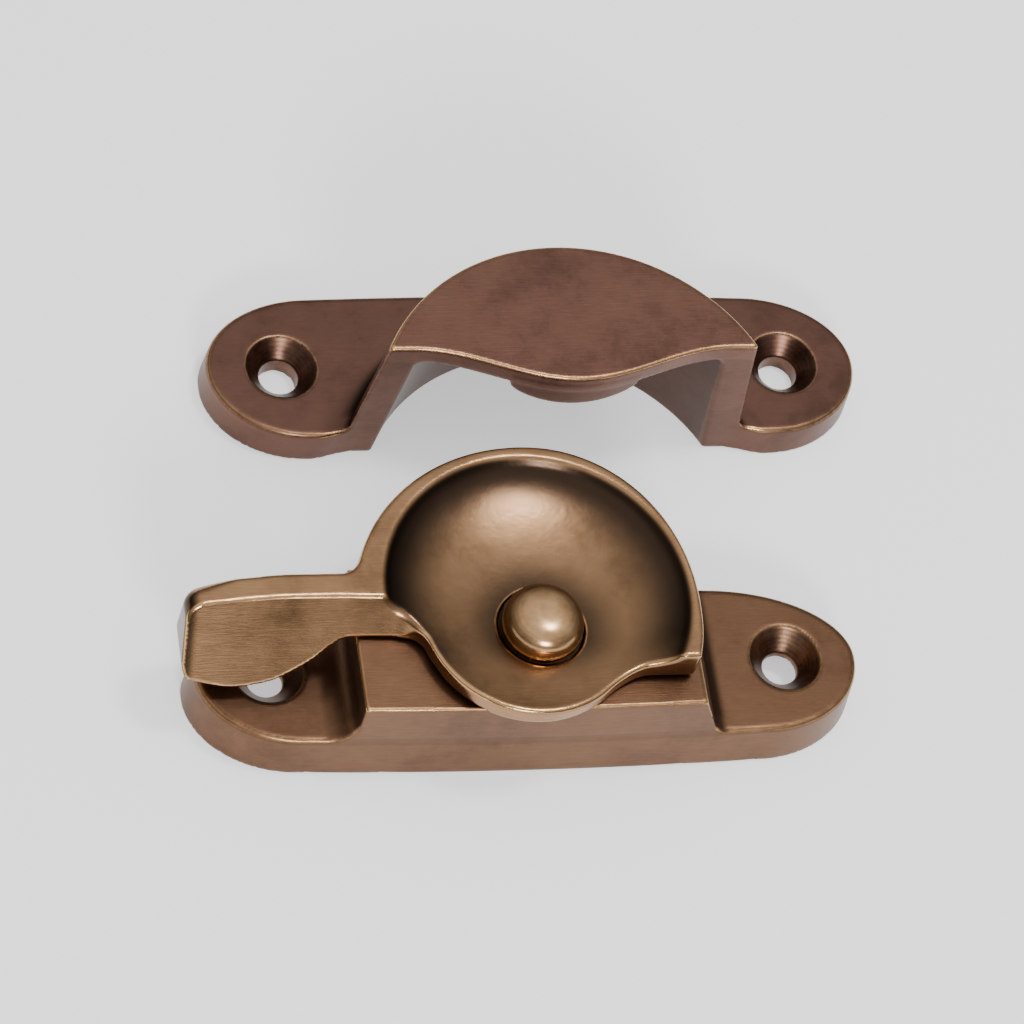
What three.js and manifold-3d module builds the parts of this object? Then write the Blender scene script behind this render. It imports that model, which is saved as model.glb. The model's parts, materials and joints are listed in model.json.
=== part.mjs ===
// A two-piece fastener for the meeting rails of a sash window: a base with a cam lever that
// turns on a rivet, and the hooded keeper that the cam's rim swings under.
// Millimetres, +Z up. The base is laid out about the middle of its plate, the lever about its
// pivot and the keeper about the middle of its plate, all on the plane they rest on; the last
// lines move the middle of the whole set to the origin.
import * as THREE from 'three';
import { mergeVertices } from 'three/addons/utils/BufferGeometryUtils.js';
import Module from 'manifold-3d';

const wasm = await Module();
wasm.setup();

// ---- Driving dimensions ----

// Both plates: long bowed sides between rounded ends.
const BASE_PLATE = { halfLength: 33, middleWidth: 8.75, endWidth: 8.3, frontEnd: 22.5, backEnd: 18 };
const KEEPER_PLATE = { halfLength: 33.3, middleWidth: 8.6, endWidth: 8.25, frontEnd: 23.5, backEnd: 22 };
const SIDE_STEPS = 5;
const END_STEPS = 11;

// How far a cutter runs past the casting that it cuts.
const CLEAR = 1;

const EAR_TOP = 5.2;
const EAR_DRAFT = 0.55;
const BLOCK_TOP = 10.8;
const BLOCK_DRAFT = 0.85;
const BLOCK_LEFT = -18;
const BLOCK_LEFT_FILLET = 3;
const BLOCK_RIGHT_TOP = 15.0;
const BLOCK_RIGHT_FOOT = 17.3;

const BASE_SCREW_SPACING = 50.8;
const KEEPER_SCREW_SPACING = 51.2;
const BASE_SCREW = { headRadius: 3.55, shankRadius: 1.75, coneDepth: 2.2 };
const KEEPER_SCREW = { headRadius: 3.55, shankRadius: 1.95, coneDepth: 1.9 };
const EAR_CORE = { rim: 2.0, depth: 2.2, from: 17.5 };
const MIDDLE_CORE = { halfLength: 12.5, halfWidth: 5.9, corner: 2, depth: 5 };

const PIVOT = { x: -0.5, shankRadius: 2, boreRadius: 2.08, headRadius: 3.9, headHeight: 3.6, neck: 0.5 };
const CAM = {
  underside: 11.2, top: 15, noseRadius: 15.1, heelRadius: 18.25, noseAngle: -19.5, heelAngle: 164,
  rampFrom: -5, rampTo: 85, noseEnd: -5.0,
};
const LIP = { x: -1.2, y: 0.7, radius: 10.35 };
// Where the crescent's inner side runs, hidden inside the arm and the lip.
const CRESCENT_FOOT = { armX: -17.4, innerX: -9, y: 2, noseX: -5 };
const RIM_STEPS = 44;
const DISH = { x: -0.4, y: 2.3, radius: 14.5, depth: 2.9 };
const HEAD_SEAT = { radius: 4.2, floor: 11.9, gap: 0.05 };

// The lever's sections from inside the dish out to the tip: the top facet runs from back to
// crease, and the finger facet falls from crease to front at the underside.
const ARM_SECTIONS = [
  { x: -10, back: 4.8, crease: 1.7, front: -3.4, top: 15, under: 11.2 },
  { x: -17, back: 4.8, crease: 2.2, front: -2.6, top: 15, under: 11.2 },
  { x: -19.6, back: 4.8, crease: 2.3, front: -2.4, top: 15, under: 11.0 },
  { x: -22, back: 4.8, crease: 2.3, front: -2.3, top: 15, under: 8.9 },
  { x: -25, back: 4.8, crease: 2.3, front: -2.7, top: 15, under: 7.4 },
  { x: -28, back: 4.5, crease: 2.0, front: -3.1, top: 15, under: 7.0 },
  { x: -31, back: 4.1, crease: 1.6, front: -3.1, top: 14.9, under: 7.0 },
  { x: -32.8, back: 3.6, crease: 1.1, front: -2.4, top: 14.6, under: 7.4 },
  { x: -33.6, back: 3.2, crease: 0.9, front: -1.4, top: 13.6, under: 8.2 },
  { x: -34, back: 2.6, crease: 1.0, front: -0.2, top: 12.2, under: 9.4 },
];

const FRICTION_WASHER = { inner: 2.2, outer: 6.4, from: 10.85, to: 11.15 };
const WAVE_WASHER = { inner: 2.2, outer: 4.7, thickness: 0.3, wave: 0.2, from: 4.25 };
const WAVES = 3;
const BACKING_WASHER = { inner: 2.2, outer: 4.9, from: 3.35, to: 4.15 };
const TAIL = { radius: 3.3, height: 0.9, top: 3.3 };

const KEEPER_AT = { x: 5.85, y: 34.3 };
const KEEPER_THICKNESS = 3.9;
const KEEPER_DRAFT = 0.3;
const HOOD = {
  centre: -15.5, outer: 20.3, inner: 17.6, foot: 1.6, top: 17.8, ceiling: 15.6,
  innerFoot: 1.2, legFront: -6.9, flatHalfLength: 20.6, flatRamp: 3, bow: 3.5, bowHalfLength: 16,
};
// The tooth's underside is a lens, fuller than an ellipse where fullness is under a half.
const TOOTH = { halfLength: 6.4, bottom: 13.4, depth: 3.6, setBack: 0.2, bury: 0.5, fullness: 0.4 };

const brass = (color, roughness) => new THREE.MeshStandardMaterial({ color, roughness, metalness: 1 });
const CAM_BRASS = brass(0x96744f, 0.42);
const BASE_BRASS = brass(0x8c6e56, 0.45);
const KEEPER_BRASS = brass(0x6a4e40, 0.45);
const RIVET_BRASS = brass(0xa8804f, 0.3);
const SPRING_STEEL = brass(0x8e8c88, 0.4);

// ---- Solids ----

const radians = THREE.MathUtils.degToRad;
const at = (x, y) => new THREE.Vector2(x, y);

// Shared vertices are merged, and a shape that came out inside out is turned.
function solid(geometry) {
  const bare = geometry.clone();
  bare.deleteAttribute('normal');
  bare.deleteAttribute('uv');
  const merged = mergeVertices(bare, 1e-4);
  const vertProperties = new Float32Array(merged.attributes.position.array);
  const triVerts = new Uint32Array(merged.index.array);
  const made = new wasm.Manifold(new wasm.Mesh({ numProp: 3, vertProperties, triVerts }));
  if (made.volume() > 0) return made;
  return new wasm.Manifold(new wasm.Mesh({ numProp: 3, vertProperties, triVerts: triVerts.reverse() }));
}

// A closed solid through a stack of rings of equal length, each a list of Vector3.
function loft(rings, capPlan) {
  const count = rings[0].length;
  const positions = rings.flat().flatMap((p) => [p.x, p.y, p.z]);
  const index = [];
  for (let r = 0; r + 1 < rings.length; r++) {
    for (let i = 0; i < count; i++) {
      const a = r * count + i;
      const b = r * count + ((i + 1) % count);
      index.push(a, b, b + count, a, b + count, a + count);
    }
  }
  const last = (rings.length - 1) * count;
  for (const [a, b, c] of THREE.ShapeUtils.triangulateShape(rings[0].map(capPlan), [])) {
    index.push(a, c, b);
  }
  for (const [a, b, c] of THREE.ShapeUtils.triangulateShape(rings.at(-1).map(capPlan), [])) {
    index.push(last + a, last + b, last + c);
  }
  const geometry = new THREE.BufferGeometry();
  geometry.setAttribute('position', new THREE.Float32BufferAttribute(positions, 3));
  geometry.setIndex(index);
  return solid(geometry);
}

const seenFromAbove = (p) => at(p.x, p.y);
const seenFromEnd = (p) => at(p.y, p.z);
const ring = (outline, z) => outline.map((p) => new THREE.Vector3(p.x, p.y, z));
const prism = (outline, low, high) => loft([ring(outline, low), ring(outline, high)], seenFromAbove);

// A profile in radius and height turned about the Z axis.
function turned(profile, segments = 40) {
  const geometry = new THREE.LatheGeometry(profile.map(([r, z]) => at(r, z)), segments);
  return solid(geometry.rotateX(Math.PI / 2));
}

// An outline in X and Z carried from one Y to another.
function acrossPlate(outline, from, to) {
  const shape = new THREE.Shape(outline.map(([x, z]) => at(x, z)));
  const geometry = new THREE.ExtrudeGeometry(shape, { depth: to - from, bevelEnabled: false });
  return solid(geometry.rotateX(Math.PI / 2).translate(0, to, 0));
}

function arc(x, y, radius, from, to, steps) {
  return Array.from({ length: steps + 1 }, (_, i) => {
    const angle = radians(from + ((to - from) * i) / steps);
    return at(x + radius * Math.cos(angle), y + radius * Math.sin(angle));
  });
}

// One quarter of a plate's outline, from the middle of a long side to the tip of the end.
function plateQuarter({ halfLength, middleWidth, endWidth }, endStart, inset) {
  const side = Array.from({ length: SIDE_STEPS }, (_, i) => {
    const along = i / SIDE_STEPS;
    return at(along * endStart, middleWidth - (middleWidth - endWidth) * along ** 2 - inset);
  });
  const end = Array.from({ length: END_STEPS + 1 }, (_, i) => {
    const angle = (Math.PI / 2) * (1 - i / END_STEPS);
    const reach = halfLength - endStart - inset;
    return at(endStart + reach * Math.cos(angle), (endWidth - inset) * Math.sin(angle));
  });
  return [...side, ...end];
}

function plateOutline(plate, inset) {
  const front = plateQuarter(plate, plate.frontEnd, inset).map((p) => at(p.x, -p.y));
  const back = plateQuarter(plate, plate.backEnd, inset).reverse().slice(1);
  const right = [...front, ...back];
  const left = right.slice(1, -1).reverse().map((p) => at(-p.x, p.y));
  return [...right, ...left];
}

function countersink(screw, x, top) {
  const coneFoot = top - screw.coneDepth;
  return turned([
    [0, -CLEAR], [screw.shankRadius, -CLEAR], [screw.shankRadius, coneFoot],
    [screw.headRadius, top], [screw.headRadius, top + BLOCK_TOP], [0, top + BLOCK_TOP],
  ], 36).translate(x, 0, 0);
}

// ---- Fastener base ----

function fastenerBase() {
  const body = loft([
    ring(plateOutline(BASE_PLATE, 0), 0),
    ring(plateOutline(BASE_PLATE, EAR_DRAFT), EAR_TOP),
    ring(plateOutline(BASE_PLATE, BLOCK_DRAFT), BLOCK_TOP),
  ], seenFromAbove);
  const reach = BASE_PLATE.halfLength + CLEAR;
  const side = BASE_PLATE.middleWidth + CLEAR;
  const over = BLOCK_TOP + CLEAR;
  const fillet = arc(BLOCK_LEFT - BLOCK_LEFT_FILLET, EAR_TOP + BLOCK_LEFT_FILLET,
    BLOCK_LEFT_FILLET, -90, 0, 8).map((p) => [p.x, p.y]);
  const leftEar = acrossPlate([
    [-reach, EAR_TOP], ...fillet, [BLOCK_LEFT, over], [-reach, over],
  ], -side, side);
  const rightSlope = (BLOCK_RIGHT_FOOT - BLOCK_RIGHT_TOP) / (BLOCK_TOP - EAR_TOP);
  const rightEar = acrossPlate([
    [BLOCK_RIGHT_TOP - rightSlope, over], [BLOCK_RIGHT_FOOT, EAR_TOP],
    [reach, EAR_TOP], [reach, over],
  ], -side, side);
  const core = prism(corneredBox(MIDDLE_CORE), -CLEAR, MIDDLE_CORE.depth);
  const bore = turned([
    [0, -CLEAR], [PIVOT.boreRadius, -CLEAR], [PIVOT.boreRadius, over], [0, over],
  ]).translate(PIVOT.x, 0, 0);
  let base = body.subtract(leftEar).subtract(rightEar).subtract(core).subtract(bore);
  for (const end of [-1, 1]) {
    const screwHole = countersink(BASE_SCREW, (end * BASE_SCREW_SPACING) / 2, EAR_TOP);
    base = base.subtract(earCore(end)).subtract(screwHole);
  }
  return base;
}

// The hollow that the foundry leaves under each ear.
function earCore(end) {
  const { rim, depth, from } = EAR_CORE;
  const { halfLength, middleWidth } = BASE_PLATE;
  const inside = prism(plateOutline(BASE_PLATE, rim), -CLEAR, depth);
  const window = [
    at(from, -middleWidth), at(halfLength, -middleWidth), at(halfLength, middleWidth), at(from, middleWidth),
  ];
  const turnedWindow = end > 0 ? window : window.map((p) => at(-p.x, -p.y));
  return inside.intersect(prism(turnedWindow, -CLEAR, depth));
}

function corneredBox({ halfLength, halfWidth, corner }) {
  const x = halfLength - corner;
  const y = halfWidth - corner;
  return [
    ...arc(x, y, corner, 0, 90, 4), ...arc(-x, y, corner, 90, 180, 4),
    ...arc(-x, -y, corner, 180, 270, 4), ...arc(x, -y, corner, 270, 360, 4),
  ];
}

// ---- Cam lever ----

// The rim grows from the nose to the heel, so turning it home takes up the play.
function camRadius(angle) {
  const ramp = THREE.MathUtils.smoothstep(angle, CAM.rampFrom, CAM.rampTo);
  return CAM.noseRadius + (CAM.heelRadius - CAM.noseRadius) * ramp;
}

function crescentOutline() {
  const rim = Array.from({ length: RIM_STEPS + 1 }, (_, i) => {
    const angle = CAM.noseAngle + ((CAM.heelAngle - CAM.noseAngle) * i) / RIM_STEPS;
    const radius = camRadius(angle);
    return at(radius * Math.cos(radians(angle)), radius * Math.sin(radians(angle)));
  });
  const { armX, innerX, y, noseX } = CRESCENT_FOOT;
  return [...rim, at(armX, y), at(innerX, y), at(noseX, CAM.noseEnd)];
}

function armSection({ x, back, crease, front, top, under }) {
  const corners = [[front, under], [back, under], [back, top], [crease, top]];
  return corners.map(([y, z]) => new THREE.Vector3(x, y, z));
}

function camLever() {
  const crescent = prism(crescentOutline(), CAM.underside, CAM.top);
  const lip = prism(arc(LIP.x, LIP.y, LIP.radius, 0, 354, 59), CAM.underside, CAM.top);
  const arm = loft(ARM_SECTIONS.map(armSection), seenFromEnd);
  const bowl = new THREE.SphereGeometry(1, 48, 32).rotateX(Math.PI / 2);
  bowl.scale(DISH.radius, DISH.radius, DISH.depth).translate(DISH.x, DISH.y, CAM.top);
  const dish = solid(bowl);
  const under = CAM.underside - CLEAR;
  const over = CAM.top + CLEAR;
  const seat = turned([
    [0, under], [PIVOT.boreRadius, under], [PIVOT.boreRadius, HEAD_SEAT.floor],
    [HEAD_SEAT.radius, HEAD_SEAT.floor], [HEAD_SEAT.radius, over], [0, over],
  ]);
  return crescent.add(lip).add(arm).subtract(dish).subtract(seat);
}

// ---- Rivet and washers ----

function pivotRivet() {
  const { shankRadius, headRadius, headHeight, neck } = PIVOT;
  const headFoot = HEAD_SEAT.floor + HEAD_SEAT.gap;
  const dome = Array.from({ length: 11 }, (_, i) => {
    const angle = radians(9 * i);
    return [headRadius * Math.cos(angle), headFoot + neck + (headHeight - neck) * Math.sin(angle)];
  });
  const tail = Array.from({ length: 7 }, (_, i) => {
    const angle = radians(15 * i - 90);
    return [TAIL.radius * Math.cos(angle), TAIL.top + TAIL.height * Math.sin(angle)];
  });
  tail[0][0] = 0;
  dome.at(-1)[0] = 0;
  return turned([
    ...tail, [shankRadius, TAIL.top], [shankRadius, headFoot], [headRadius, headFoot], ...dome,
  ]);
}

function flatWasher({ inner, outer, from, to }) {
  return turned([[inner, from], [outer, from], [outer, to], [inner, to], [inner, from]]);
}

// A ring pressed into three waves.
function waveWasher() {
  const { inner, outer, thickness, wave, from } = WAVE_WASHER;
  const low = from + wave;
  const high = low + thickness;
  const profile = [at(inner, low), at(outer, low), at(outer, high), at(inner, high), at(inner, low)];
  const geometry = new THREE.LatheGeometry(profile, 48).rotateX(Math.PI / 2);
  const position = geometry.attributes.position;
  for (let i = 0; i < position.count; i++) {
    const angle = Math.atan2(position.getY(i), position.getX(i));
    position.setZ(i, position.getZ(i) + wave * Math.cos(WAVES * angle));
  }
  return solid(geometry);
}

// ---- Keeper ----

function hoodArc(radius, front) {
  const start = THREE.MathUtils.radToDeg(Math.asin((front - HOOD.centre) / radius));
  return arc(0, HOOD.centre, radius, start, 180 - start, 40);
}

// The canopy's front edge bows forward in the middle and dies out at both legs.
function canopyFront(setBack, halfLength, steps) {
  return Array.from({ length: steps + 1 }, (_, i) => {
    const x = halfLength * ((2 * i) / steps - 1);
    const along = Math.min(1, Math.abs(x) / HOOD.bowHalfLength);
    const swell = Math.cos((Math.PI / 2) * along) ** 2;
    return at(x, HOOD.legFront + setBack - HOOD.bow * swell);
  });
}

function tooth() {
  const { halfLength, bottom, depth, setBack } = TOOTH;
  const root = HOOD.ceiling + TOOTH.bury;
  const front = HOOD.legFront - HOOD.bow;
  const back = front + depth + setBack;
  const plan = [
    ...canopyFront(setBack, halfLength, 16), at(halfLength, back + CLEAR), at(-halfLength, back + CLEAR),
  ];
  const lens = Array.from({ length: 17 }, (_, i) => {
    const x = halfLength * (1 - i / 8);
    const round = Math.max(0, 1 - (x / halfLength) ** 2);
    return [x, root - (root - bottom) * round ** TOOTH.fullness];
  });
  return prism(plan, bottom - CLEAR, root).intersect(acrossPlate(lens, front - CLEAR, back));
}

function keeper() {
  const plate = loft([
    ring(plateOutline(KEEPER_PLATE, 0), 0),
    ring(plateOutline(KEEPER_PLATE, KEEPER_DRAFT), KEEPER_THICKNESS),
  ], seenFromAbove);
  const wall = loft([
    ring(hoodArc(HOOD.outer + HOOD.foot, HOOD.legFront), 0),
    ring(hoodArc(HOOD.outer, HOOD.legFront), HOOD.top),
  ], seenFromAbove);
  const corner = Math.sqrt(HOOD.outer ** 2 - (HOOD.legFront - HOOD.centre) ** 2);
  const front = canopyFront(0, corner, 40);
  const lap = HOOD.outer - HOOD.inner;
  const canopy = prism([
    ...front, at(corner - lap, HOOD.legFront + lap), at(lap - corner, HOOD.legFront + lap),
  ], HOOD.ceiling, HOOD.top);
  const pocket = loft([
    ring(arc(0, HOOD.centre, HOOD.inner + HOOD.innerFoot, 0, 354, 59), -0.01),
    ring(arc(0, HOOD.centre, HOOD.inner, 0, 354, 59), HOOD.ceiling),
  ], seenFromAbove);
  const { legFront, flatHalfLength, flatRamp } = HOOD;
  const { middleWidth } = KEEPER_PLATE;
  const flat = prism([
    at(-flatHalfLength - flatRamp, -middleWidth), at(flatHalfLength + flatRamp, -middleWidth),
    at(flatHalfLength, legFront), at(-flatHalfLength, legFront),
  ], -CLEAR, KEEPER_THICKNESS + CLEAR);
  let casting = plate.subtract(flat).add(wall).subtract(pocket).add(canopy).add(tooth());
  for (const end of [-1, 1]) {
    const x = (end * KEEPER_SCREW_SPACING) / 2;
    casting = casting.subtract(countersink(KEEPER_SCREW, x, KEEPER_THICKNESS));
  }
  return casting;
}

// ---- Assembly ----

function named(name, made, material) {
  const { vertProperties, triVerts } = made.getMesh();
  const geometry = new THREE.BufferGeometry();
  geometry.setAttribute('position', new THREE.Float32BufferAttribute(vertProperties, 3));
  geometry.setIndex(new THREE.Uint32BufferAttribute(triVerts, 1));
  geometry.computeVertexNormals();
  const mesh = new THREE.Mesh(geometry, material);
  mesh.name = name;
  return mesh;
}

// What is stacked on the rivet, laid out about its axis.
const pivotStack = new THREE.Group();
pivotStack.position.x = PIVOT.x;
pivotStack.add(
  named('cam_lever', camLever(), CAM_BRASS),
  named('pivot_rivet', pivotRivet(), RIVET_BRASS),
  named('friction_washer', flatWasher(FRICTION_WASHER), SPRING_STEEL),
  named('wave_washer', waveWasher(), SPRING_STEEL),
  named('backing_washer', flatWasher(BACKING_WASHER), RIVET_BRASS),
);

const keeperMesh = named('keeper', keeper(), KEEPER_BRASS);
keeperMesh.position.set(KEEPER_AT.x, KEEPER_AT.y, 0);

const set = new THREE.Group();
set.add(named('fastener_base', fastenerBase(), BASE_BRASS), pivotStack, keeperMesh);

const box = new THREE.Box3().setFromObject(set);
const middle = box.getCenter(new THREE.Vector3());
set.position.set(-middle.x, -middle.y, -box.min.z);

const group = new THREE.Group();
group.add(set);
export default group;
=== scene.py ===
# The looks of a two-piece sash fastener in antique brass: a base with a cam lever on a rivet,
# and the hooded keeper laid out behind it.
#
# Each casting is written as a signed distance in millimetres, negative inside the metal, with the
# foundry's fillets in its corners and its edges rubbed round. skin() turns it into a mesh.
import json
import math

import bpy
import numpy as np
from mathutils import Matrix, Vector


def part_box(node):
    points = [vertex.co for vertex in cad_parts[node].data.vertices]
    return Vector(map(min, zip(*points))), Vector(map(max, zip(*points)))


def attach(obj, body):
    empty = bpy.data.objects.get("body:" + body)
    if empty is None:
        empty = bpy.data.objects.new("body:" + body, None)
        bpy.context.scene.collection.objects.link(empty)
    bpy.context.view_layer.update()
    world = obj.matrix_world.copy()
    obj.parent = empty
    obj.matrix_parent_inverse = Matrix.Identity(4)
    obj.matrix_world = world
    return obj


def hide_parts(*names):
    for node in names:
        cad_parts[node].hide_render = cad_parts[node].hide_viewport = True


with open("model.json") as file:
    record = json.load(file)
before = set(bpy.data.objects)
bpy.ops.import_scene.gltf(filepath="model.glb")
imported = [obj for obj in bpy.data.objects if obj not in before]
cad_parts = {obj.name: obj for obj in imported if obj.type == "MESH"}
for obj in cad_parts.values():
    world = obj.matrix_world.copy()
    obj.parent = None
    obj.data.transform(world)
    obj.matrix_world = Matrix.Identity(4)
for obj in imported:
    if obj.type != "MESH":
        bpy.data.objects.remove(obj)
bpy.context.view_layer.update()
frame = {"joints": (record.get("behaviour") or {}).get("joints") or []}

MM = 0.001


# ---- Places, from the frame ----

def middle_of(node):
    """The middle of a CAD node's box seen from above, in millimetres."""
    low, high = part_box(node)
    return Vector(((low.x + high.x) / 2, (low.y + high.y) / 2, 0)) / MM


def height_of(node):
    """The lowest and highest point of a CAD node, in millimetres."""
    low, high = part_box(node)
    return low.z / MM, high.z / MM


JOINTS = {joint["name"]: joint for joint in frame["joints"]}
BASE_MIDDLE = middle_of("fastener_base")
KEEPER_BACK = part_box("keeper")[1].y / MM
PIVOT = Vector((*JOINTS["lever_turn"]["pos_m"][:2], 0)) / MM
BLOCK_TOP = height_of("fastener_base")[1]
CAM_TOP = height_of("cam_lever")[1]
CANOPY_TOP = height_of("keeper")[1]

# ---- Driving sizes, in millimetres ----

BASE_PLATE = {"half_length": 33, "middle": 8.75, "end": 8.3, "front_end": 22.5, "back_end": 18}
KEEPER_PLATE = {"half_length": 33.3, "middle": 8.6, "end": 8.25, "front_end": 23.5, "back_end": 22}
KEEPER_MIDDLE = Vector((middle_of("keeper").x, KEEPER_BACK - KEEPER_PLATE["middle"], 0))

EAR_TOP = 5.2
EAR_DRAFT = 0.55
BLOCK_DRAFT = 0.85
BLOCK_LEFT = -18
BLOCK_RIGHT_TOP = 15.0
BLOCK_RIGHT_FOOT = 17.3
EAR_FILLETS = (3.0, 0.9)
BASE_SCREW = {"x": 25.4, "head": 3.55, "shank": 1.75, "cone": 2.2}
EAR_CORE = {"rim": 2.0, "depth": 2.2, "start": 17.5, "corner": 0.5}
MIDDLE_CORE = {"half_length": 12.5, "half_width": 5.9, "corner": 2.0, "depth": 5.0}
PIVOT_BORE = 2.08

CAM = {"nose": 15.1, "heel": 18.25, "ramp": (-5, 85), "chord_x": (-9, -5), "chord_y": (2, -5)}
LIP = {"x": -1.2, "y": 0.7, "radius": 10.35}
DISH = {"x": -0.4, "y": 2.3, "radius": 14.5, "depth": 2.9}
HEAD_SEAT = {"radius": 4.2, "floor": 11.9}

# The lever's sections, from the tip to inside the dish. The facet falls from the crease, and fall
# is how far it runs forward for each millimetre that it drops.
ARM = {
    "x":      (-34.0, -31.0, -28.0, -25.0, -22.0, -20.4, -19.4, -17.0, -10.0),
    "back":   (3.9, 4.3, 4.5, 4.8, 4.8, 4.8, 4.8, 4.8, 4.8),
    "crease": (1.5, 1.8, 2.1, 2.3, 2.3, 2.3, 2.3, 2.2, 1.9),
    "fall":   (0.58, 0.61, 0.65, 0.66, 0.66, 0.66, 0.66, 0.66, 0.66),
    "under":  (7.2, 7.0, 7.0, 7.4, 8.9, 9.9, 11.0, 11.2, 11.2),
}
ARM_TIP = -34.0
# The tip's corners are rounded by these radii. The top's and the underside's fall to the second
# figure along the arm within TIP_REACH.
TIP_ROUNDS = {"back": 1.5, "top": (1.7, 0.4), "under": (2.4, 0.35)}
TIP_REACH = (-33, -29)
LEVER_FILLETS = {"lip": 2.2, "facet": 2.8, "arm": 1.4}

KEEPER_THICKNESS = 3.9
KEEPER_DRAFT = 0.3
KEEPER_SCREW = {"x": 25.6, "head": 3.55, "shank": 1.95, "cone": 1.9}
HOOD = {
    "centre": -15.5, "outer": 20.3, "inner": 17.6, "foot": 1.6, "inner_foot": 1.2, "ceiling": 15.6,
    "leg_front": -6.9, "flat": 18.6, "flat_ramp": 4.0, "ear_step": 0.9, "front_lean": 0.5, "bow": 3.5,
    "bow_half": 16.0, "fillet": 0.7, "pocket_corner": 0.9,
}
TOOTH = {"half_length": 6.4, "bottom": 13.4, "depth": 3.6, "fullness": 0.4, "root": 1.0}

# How round each kind of edge has been rubbed or was cast.
RUBBED = {
    "ear": 0.45, "block": 0.22, "crest": 0.25, "underside": 0.15, "core": 0.15, "drilled": 0.12,
    "bore": 0.1, "dish": 0.55, "crease": 0.22, "facet_foot": 0.5, "canopy": 0.3, "mouth": 0.22,
    "tooth_back": 0.4, "tooth_front": 0.35, "tooth_root": 0.12,
}

# How thick the brown film lies, from 0 to 1, in the places where the belt leaves more of it, and how dark
# the painted shade is on the lever's dish walls and tip.
FILM_AND_PAINTED_SHADE = {
    "dish": 0.36, "painted_shade_dish_walls": 0.5, "rivet_ring": 0.42, "ring_width": 2.6, "painted_shade_lever_tip": 0.8,
    "base_ears": 0.2, "keeper_ears": 0.26, "keeper_sides": 0.24, "pocket": 0.55,
}


# ---- Distances ----

def joined(a, b, fillet):
    """Both shapes, with a round fillet of that radius in the corner between them."""
    corner = np.hypot(np.maximum(fillet - a, 0), np.maximum(fillet - b, 0))
    return np.maximum(fillet, np.minimum(a, b)) - corner


def common(a, b, edge):
    """What two shapes share, with its new edge rubbed to that radius."""
    corner = np.hypot(np.maximum(edge + a, 0), np.maximum(edge + b, 0))
    return np.minimum(-edge, np.maximum(a, b)) + corner


def cut(a, b, edge):
    """The first shape less the second."""
    return common(a, -b, edge)


def sloping(value, slope):
    """A height above a slanted wall, brought to a true distance."""
    return value / np.sqrt(1 + slope ** 2)


def cone_hole(p, screw, side, top):
    """A countersunk screw hole at one end of a plate."""
    x, y, z = p
    across = np.hypot(x - side * screw["x"], y)
    slope = (screw["head"] - screw["shank"]) / screw["cone"]
    depth = np.clip(z - top + screw["cone"], 0, screw["cone"])
    wall = across - screw["shank"] - depth * slope
    on_cone = (depth > 0) & (depth < screw["cone"])
    return np.where(on_cone, sloping(wall, slope), wall)


def plate_side(p, plate, inset):
    """Distance from a plate's outline: long bowed sides between elliptical ends."""
    x, y, _ = p
    start = np.where(y < 0, plate["front_end"], plate["back_end"])
    along = np.clip(np.abs(x) / start, 0, 1)
    bow = plate["middle"] - plate["end"]
    side = np.abs(y) - plate["middle"] + bow * along ** 2
    reach = np.maximum(np.abs(x) - start, 0)
    long_radius = plate["half_length"] - start
    scaled = np.hypot(reach / long_radius, y / plate["end"])
    slope = np.hypot(reach / long_radius ** 2, y / plate["end"] ** 2)
    end = scaled * (scaled - 1) / np.maximum(slope, 1e-6)
    return np.where(np.abs(x) < start, side, end) + inset


# ---- Castings ----

def base_casting(p):
    """The plate, its two ears and the block that carries the lever."""
    x, y, z = p
    inset = np.interp(z, (0, EAR_TOP, BLOCK_TOP), (0, EAR_DRAFT, BLOCK_DRAFT))
    outline = plate_side(p, BASE_PLATE, inset)
    ear = z - EAR_TOP
    lean = (BLOCK_RIGHT_FOOT - BLOCK_RIGHT_TOP) / (BLOCK_TOP - EAR_TOP)
    right_wall = sloping(x - BLOCK_RIGHT_FOOT + lean * (z - EAR_TOP), lean)
    left = joined(ear, BLOCK_LEFT - x, EAR_FILLETS[0])
    right = joined(ear, right_wall, EAR_FILLETS[1])
    tops = common(np.where(x < 0, left, right), z - BLOCK_TOP, RUBBED["crest"])
    worn = np.where(z < (EAR_TOP + BLOCK_TOP) / 2, RUBBED["ear"], RUBBED["block"])
    metal = common(outline, tops, worn)
    metal = common(metal, -z, RUBBED["underside"])
    middle = np.maximum(
        np.hypot(np.maximum(np.abs(x) - MIDDLE_CORE["half_length"] + MIDDLE_CORE["corner"], 0),
                 np.maximum(np.abs(y) - MIDDLE_CORE["half_width"] + MIDDLE_CORE["corner"], 0))
        - MIDDLE_CORE["corner"], z - MIDDLE_CORE["depth"])
    ends = np.maximum(plate_side(p, BASE_PLATE, EAR_CORE["rim"]), EAR_CORE["start"] - np.abs(x))
    ends = common(ends, z - EAR_CORE["depth"], EAR_CORE["corner"])
    bore = np.hypot(x - (PIVOT.x - BASE_MIDDLE.x), y) - PIVOT_BORE
    for hollow in (middle, ends, bore):
        metal = cut(metal, hollow, RUBBED["core"])
    for side in (-1, 1):
        metal = cut(metal, cone_hole(p, BASE_SCREW, side, EAR_TOP), RUBBED["drilled"])
    return metal


def cam_radius(angle):
    """The rim's radius, growing from the nose to the heel."""
    start, end = CAM["ramp"]
    return CAM["nose"] + (CAM["heel"] - CAM["nose"]) * smooth(angle, start, end)


def arm_value(x, name, blur=0.5):
    """One of the lever's section sizes, with the bends between sections softened."""
    spots = (-2, -1, 0, 1, 2)
    return sum(np.interp(x + blur * s, ARM["x"], ARM[name]) for s in spots) / len(spots)


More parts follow.
